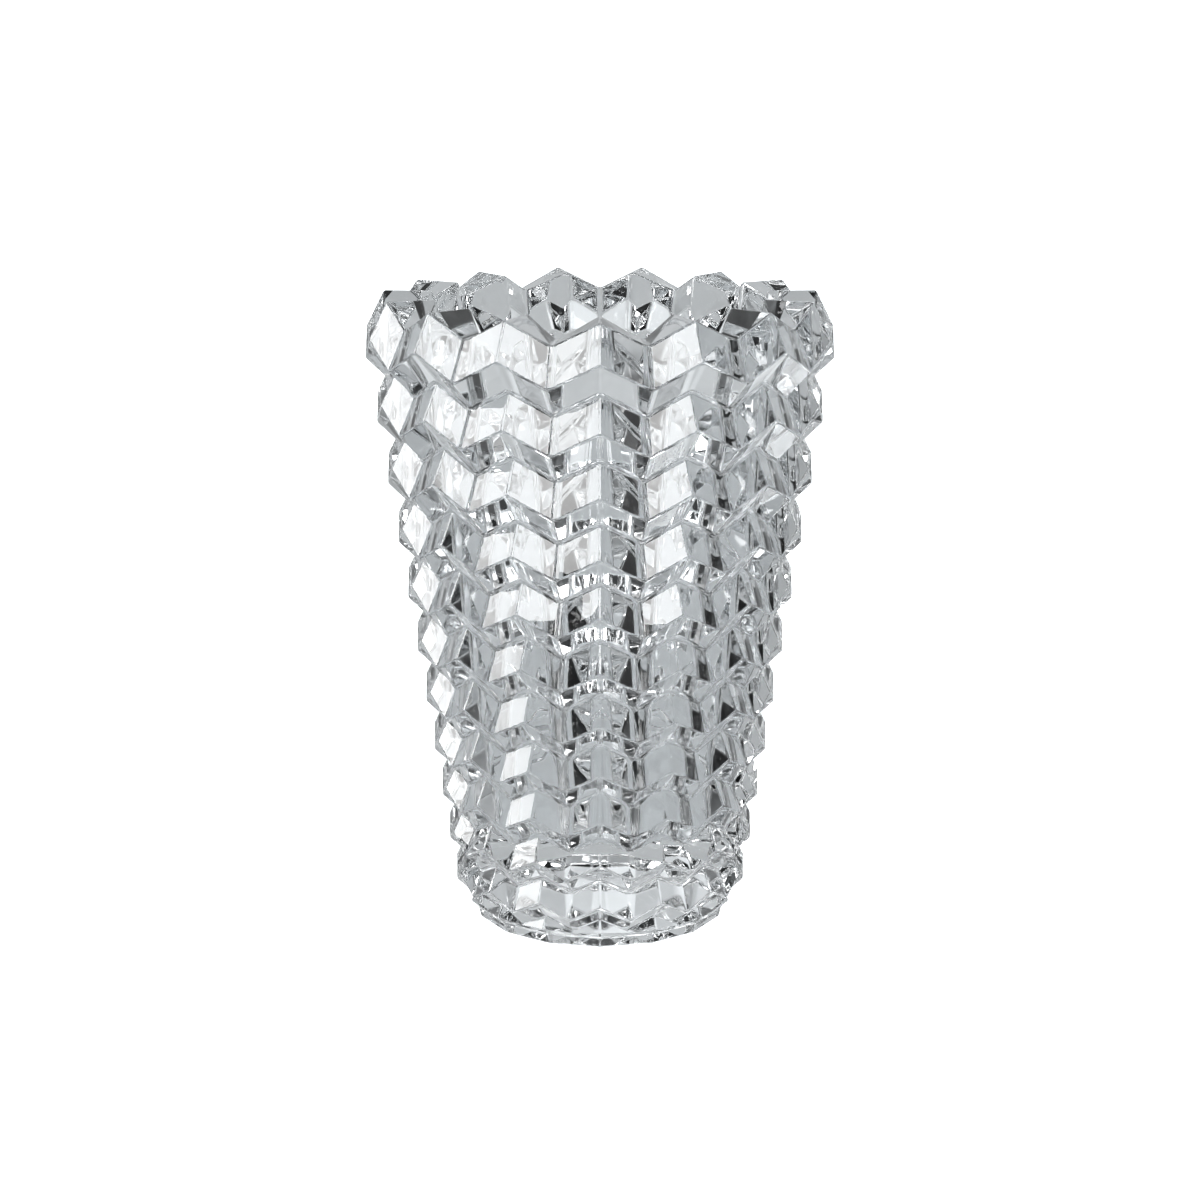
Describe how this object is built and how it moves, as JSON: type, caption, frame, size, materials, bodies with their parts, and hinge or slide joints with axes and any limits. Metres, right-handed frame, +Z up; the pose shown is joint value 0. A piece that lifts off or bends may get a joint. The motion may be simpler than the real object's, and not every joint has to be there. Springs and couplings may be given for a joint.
{
  "type": "cut crystal vase",
  "caption": "Tall tapering crystal vase cut with rows of flat chevron facets, a sawtooth rim, a fluted hollow and a solid base on a small flat foot.",
  "frame": {"origin": "centre of the flat underside of the foot, on the vase's axis", "axes": "+Z up along the vase's axis, -Y towards a ridge of the facets, which is the front"},
  "size_m": [0.2198, 0.2199, 0.3],
  "materials": {
    "crystal": "polished"
  },
  "bodies": {
    "root": {"faceted_wall": "crystal", "solid_base": "crystal", "foot": "crystal"}
  },
  "joints": []
}
